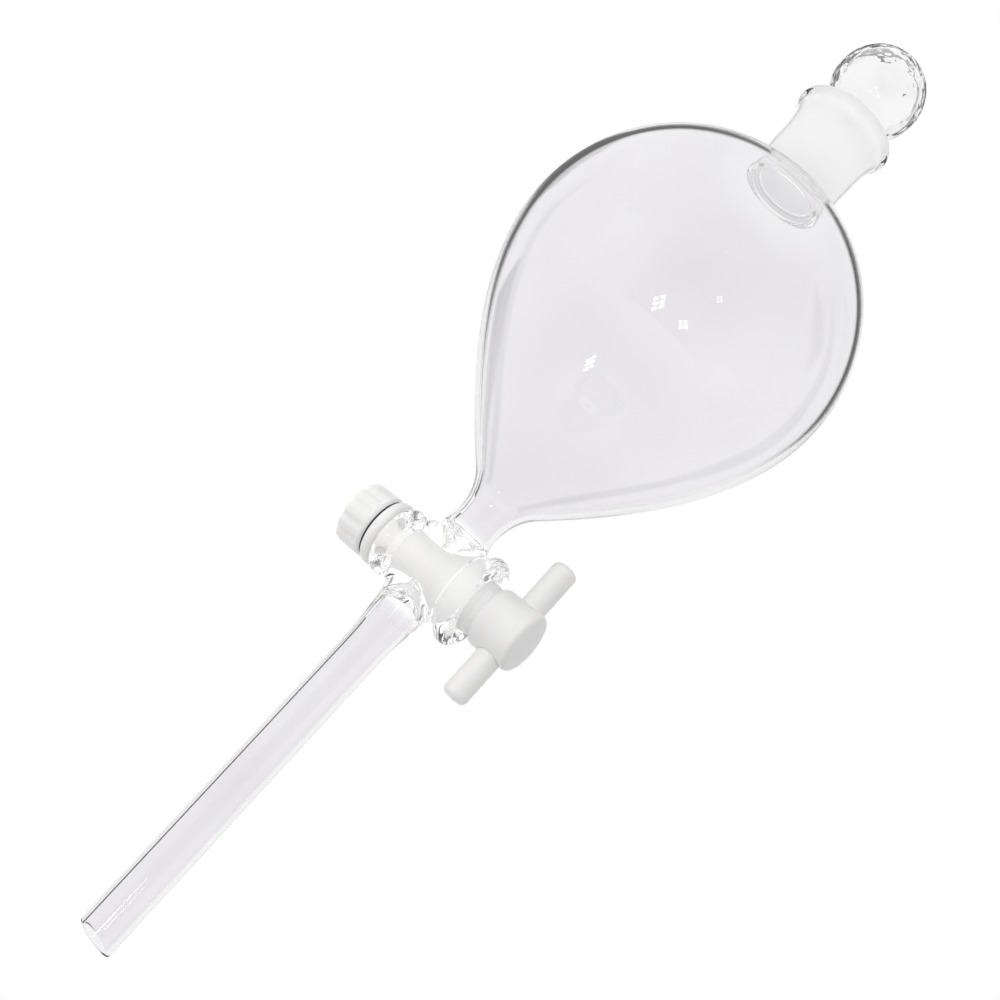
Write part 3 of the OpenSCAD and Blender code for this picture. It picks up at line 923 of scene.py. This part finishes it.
# The cavity of the stopper is a second closed surface, and it faces inward
bm = bmesh.new()
bm.from_mesh(stopper.data)
centre = Vector((0, 0, BALL_Z * MM))
cavity = [x for x in bm.faces if (x.calc_center_median() - centre).length < (BALL_R - 0.9) * MM
          and x.calc_center_median().z > (MOUTH_Z + 4) * MM]
wrong = [x for x in cavity if (x.calc_center_median() - centre).dot(x.normal) > 0]
if len(wrong) > len(cavity) / 2:
    seen, todo = set(), [cavity[0]]
    while todo:
        x = todo.pop()
        if x in seen:
            continue
        seen.add(x)
        for e in x.edges:
            todo.extend(y for y in e.link_faces if y not in seen)
    bmesh.ops.reverse_faces(bm, faces=list(seen))
bm.to_mesh(stopper.data)
bm.free()

# ---- Camera at the photograph's viewing angle ----

roll, tilt, swing = (math.radians(a) for a in (47.207, 13.08, 22.37))
aim_z, shift_across, distance, focal = 151.136, 0.127, 425.5, 1600
right, up, ahead = np.eye(3)
down_axis = math.cos(roll) * right + math.sin(roll) * up
across = math.sin(roll) * right - math.cos(roll) * up
zc = math.cos(tilt) * down_axis + math.sin(tilt) * ahead
mc = -math.sin(tilt) * down_axis + math.cos(tilt) * ahead
xc = math.cos(swing) * across - math.sin(swing) * mc
yc = math.cos(swing) * mc + math.sin(swing) * across
view = np.stack([xc, yc, zc], axis=1)
offset = ahead * distance + across * (shift_across / focal * distance) - view @ np.array([0, 0, aim_z])
place = -view.T @ offset * MM
cam_data = bpy.data.cameras.new("camera")
cam_data.sensor_width = 36
cam_data.lens = focal / 1000 * 36
cam_data.clip_start = 0.01
camera = bpy.data.objects.new("camera", cam_data)
camera.matrix_world = Matrix((
    (view[0][0], view[1][0], -view[2][0], place[0]),
    (view[0][1], view[1][1], -view[2][1], place[1]),
    (view[0][2], view[1][2], -view[2][2], place[2]),
    (0, 0, 0, 1)))
bpy.context.scene.collection.objects.link(camera)
bpy.context.scene.camera = camera

# ---- Studio: a white surround, dark cards out of sight that draw the glass's edges, soft lights ----

SIDE, RISE, AHEAD = (Vector(view[i]) for i in range(3))
HOME = Vector(place)

world = bpy.data.worlds.new("studio")
bpy.context.scene.world = world
world.use_nodes = True
wt = world.node_tree
background = wt.nodes["Background"]
coord = wt.nodes.new("ShaderNodeTexCoord")


def lobe(direction, low, high):
    """0 to 1 as a direction in the surround turns towards the given one."""
    dot = wt.nodes.new("ShaderNodeVectorMath")
    dot.operation = "DOT_PRODUCT"
    dot.inputs[1].default_value = direction.normalized()
    wt.links.new(coord.outputs["Generated"], dot.inputs[0])
    ramp = wt.nodes.new("ShaderNodeMapRange")
    ramp.interpolation_type = "SMOOTHSTEP"
    ramp.inputs["From Min"].default_value = low
    ramp.inputs["From Max"].default_value = high
    wt.links.new(dot.outputs["Value"], ramp.inputs["Value"])
    return ramp.outputs["Result"]


def mix(factor, a, b):
    node = wt.nodes.new("ShaderNodeMix")
    node.data_type = "RGBA"
    wt.links.new(factor, node.inputs["Factor"])
    for socket, value in ((node.inputs["A"], a), (node.inputs["B"], b)):
        if isinstance(value, tuple):
            socket.default_value = value
        else:
            wt.links.new(value, socket)
    return node.outputs["Result"]


bright_side = lobe(-SIDE * 0.3 + RISE * 0.95 - AHEAD * 0.2, 0.1, 1.0)
colour = mix(bright_side, (1.0, 1.0, 1.0, 1), (1.10, 1.10, 1.10, 1))
wt.links.new(colour, background.inputs["Color"])
background.inputs["Strength"].default_value = 1.0


def emission(name, value):
    m = bpy.data.materials.new(name)
    m.use_nodes = True
    t = m.node_tree
    t.nodes.clear()
    e = t.nodes.new("ShaderNodeEmission")
    e.inputs["Color"].default_value = (value, value, value, 1)
    e.inputs["Strength"].default_value = 1
    o = t.nodes.new("ShaderNodeOutputMaterial")
    t.links.new(e.outputs["Emission"], o.inputs["Surface"])
    return m


def stage_piece(name, verts, faces, material, diffuse=False, glossy=True, transmission=True, shadow=False):
    """A studio piece that the camera doesn't see, and that only the chosen kinds of ray meet."""
    mesh = bpy.data.meshes.new(name)
    mesh.from_pydata([tuple(p) for p in verts], [], faces)
    mesh.materials.append(material)
    o = bpy.data.objects.new(name, mesh)
    bpy.context.scene.collection.objects.link(o)
    o.visible_camera = False
    o.visible_diffuse = diffuse
    o.visible_glossy = glossy
    o.visible_transmission = transmission
    o.visible_shadow = shadow


CARD_DEPTH = (distance + 350) * MM


def hang_card(name, spots, faces, value):
    """A flat card facing the camera; its points are in metres across and up from the line of sight."""
    pts = [HOME + AHEAD * CARD_DEPTH + SIDE * x + RISE * y for x, y in spots]
    stage_piece(name, pts, faces, emission(name, value))


def in_card_plane(height):
    """Where a point of the funnel's axis lies against the plane of the cards, across and up."""
    at = Vector((0, 0, height * MM)) - HOME
    return Vector((at.dot(SIDE), at.dot(RISE))) * (CARD_DEPTH / at.dot(AHEAD))


def strip(name, below, above, near, far, value):
    """A card beside the stem and parallel to it, between two distances from the stem's line."""
    tip, tap = in_card_plane(0), in_card_plane(TAP_Z)
    along = (tap - tip).normalized()
    out = Vector((-along.y, along.x))
    spots = [tip - along * below + out * near, tap + along * above + out * near,
             tap + along * above + out * far, tip - along * below + out * far]
    hang_card(name, spots, [(0, 1, 2, 3)], value)


def card_fan(name, r0, r1, a0, a1, taper0, taper1, value, n=60):
    """A flat piece of a ring round the bulb's middle, between two angles, pointed at both ends."""
    inner, outer = [], []
    for k in range(n + 1):
        a = a0 + (a1 - a0) * k / n
        full = float(smoothstep(a, a0, a0 + taper0) * (1 - smoothstep(a, a1 - taper1, a1)))
        c, q = math.cos(math.radians(a)), math.sin(math.radians(a))
        low_r = r1 - (r1 - r0) * (0.04 + 0.96 * full)
        inner.append((bulb_x + low_r * c, bulb_y + low_r * q))
        outer.append((bulb_x + r1 * c, bulb_y + r1 * q))
    faces = [(k, k + 1, n + 2 + k, n + 1 + k) for k in range(n)]
    hang_card(name, inner + outer, faces, value)


bulb_x, bulb_y = in_card_plane(BULB_Z)
card_fan("flag_bulb_right", 0.205, 0.33, -64, 62, 34, 46, 0.17)
card_fan("flag_bulb_top", 0.205, 0.33, 30, 192, 46, 40, 0.17)
strip("flag_stem", 0.10, -0.02, 0.36, 0.62, 0.08)
card_fan("flag_bulb_left", 0.145, 0.22, 98, 152, 18, 22, 0.17)


def softbox(name, offset_right, offset_up, offset_ahead, width, height, watts):
    """A soft light that looks at the middle of the funnel, placed from it along the camera's own axes."""
    middle = Vector((0, 0, 0.19))
    at = middle + SIDE * offset_right + RISE * offset_up + AHEAD * offset_ahead
    data = bpy.data.lights.new(name, "AREA")
    data.shape = "RECTANGLE"
    data.size, data.size_y = width, height
    data.energy = watts
    o = bpy.data.objects.new(name, data)
    o.location = at
    o.rotation_euler = (middle - at).to_track_quat("-Z", "Y").to_euler()
    bpy.context.scene.collection.objects.link(o)
    o.visible_camera = False
    return o


def window(name, offset_right, offset_up, offset_ahead, size, panes, value):
    """A bright window of small panes, seen only as a reflection; placed from the middle of the bulb."""
    middle = Vector((0, 0, BULB_Z * MM))
    at = middle + SIDE * offset_right + RISE * offset_up + AHEAD * offset_ahead
    facing = (middle - at).normalized()
    wide = facing.cross(RISE).normalized()
    high = wide.cross(facing)
    verts, faces = [], []
    for i in range(panes[0]):
        for j in range(panes[1]):
            for dx, dy in ((0, 0), (0.76, 0), (0.76, 0.68), (0, 0.68)):
                u, w = (i + dx) / panes[0] - 0.5, (j + dy) / panes[1] - 0.5
                verts.append(tuple(at + wide * (u * size) + high * (w * size)))
            k = len(verts) - 4
            faces.append((k, k + 1, k + 2, k + 3))
    stage_piece(name, verts, faces, emission(name, value))


def dim_front(at, radius, value):
    """A round screen behind the camera, dim in its middle; it greys the glass, only by its reflection."""
    n = 64
    verts = [at]
    for k in range(n):
        a = 2 * math.pi * k / n
        verts.append(at + SIDE * (radius * math.cos(a)) + RISE * (radius * math.sin(a)))
    m = emission("dim_front", 1.0)
    t = m.node_tree
    from_middle = t.nodes.new("ShaderNodeVectorMath")
    from_middle.operation = "DISTANCE"
    from_middle.inputs[1].default_value = at
    t.links.new(t.nodes.new("ShaderNodeTexCoord").outputs["Object"], from_middle.inputs[0])
    fade = ease_along(t, from_middle.outputs["Value"], 0.25 * radius, radius)
    strength = calculate(t, "ADD", calculate(t, "MULTIPLY", fade, 1 - value), value)
    t.links.new(strength, t.nodes["Emission"].inputs["Strength"])
    faces = [(0, 1 + k, 1 + (k + 1) % n) for k in range(n)]
    stage_piece("dim_front", verts, faces, m, transmission=False)


dim_front(HOME - AHEAD * 0.8, 1.13, 0.35)


def shade_card(name, at, facing, size, value):
    """A dim card that only matt surfaces see; it shades the white plastic and leaves the glass clear."""
    wide = facing.orthogonal().normalized() * size / 2
    high = facing.normalized().cross(wide)
    spots = [at + wide * u + high * v for u, v in ((-1, -1), (1, -1), (1, 1), (-1, 1))]
    stage_piece(name, spots, [(0, 1, 2, 3)], emission(name, value),
                diffuse=True, glossy=False, transmission=False, shadow=True)


shade_card("shade_handle", Vector((0.28, 0, 0.115)), Vector((1, 0, 0)), 0.34, 0.12)
shade_card("shade_below", Vector((0.0, 0, -0.14)), Vector((0, 0, 1)), 0.36, 0.6)
softbox("key", -0.55, 0.75, -0.55, 0.35, 0.35, 0.10)
window("window_high", -0.226, 0.061, -1.126, 0.13, (2, 3), 9.0)
window("window_low", -0.262, -0.095, -0.332, 0.036, (2, 3), 6.0)

# ---- Floor ----

FLOOR_Z, FLOOR_R, FLOOR_SIDES = -0.30, 1.2, 72
floor_mesh = bpy.data.meshes.new("floor")
turns = [2 * math.pi * k / FLOOR_SIDES for k in range(FLOOR_SIDES)]
pts = [(FLOOR_R * math.cos(a), FLOOR_R * math.sin(a), FLOOR_Z) for a in turns]
floor_mesh.from_pydata(pts, [], [tuple(range(FLOOR_SIDES))])
floor = bpy.data.objects.new("floor", floor_mesh)
bpy.context.scene.collection.objects.link(floor)
floor_mat, t, s = new_material("pale_floor")
s.inputs["Roughness"].default_value = 0.8
shade = add_ramp(t, add_noise(t, 12, 3.0), (0.72, 0.715, 0.72, 1), (0.74, 0.735, 0.74, 1))
# The floor glows more and more outwards, a painted brightening, until it meets the white surround
from_middle = t.nodes.new("ShaderNodeVectorMath")
from_middle.operation = "LENGTH"
t.links.new(t.nodes.new("ShaderNodeTexCoord").outputs["Object"], from_middle.inputs[0])
s.inputs["Emission Color"].default_value = (1, 1, 1, 1)
fade = ease_along(t, from_middle.outputs["Value"], 0.35, 1.15)
t.links.new(fade, s.inputs["Emission Strength"])
fading = t.nodes.new("ShaderNodeMix")
fading.data_type = "RGBA"
fading.inputs["B"].default_value = (0, 0, 0, 1)
t.links.new(fade, fading.inputs["Factor"])
t.links.new(shade.outputs["Color"], fading.inputs["A"])
t.links.new(fading.outputs["Result"], s.inputs["Base Color"])
floor_mesh.materials.append(floor_mat)

bpy.context.scene.view_settings.view_transform = "Standard"
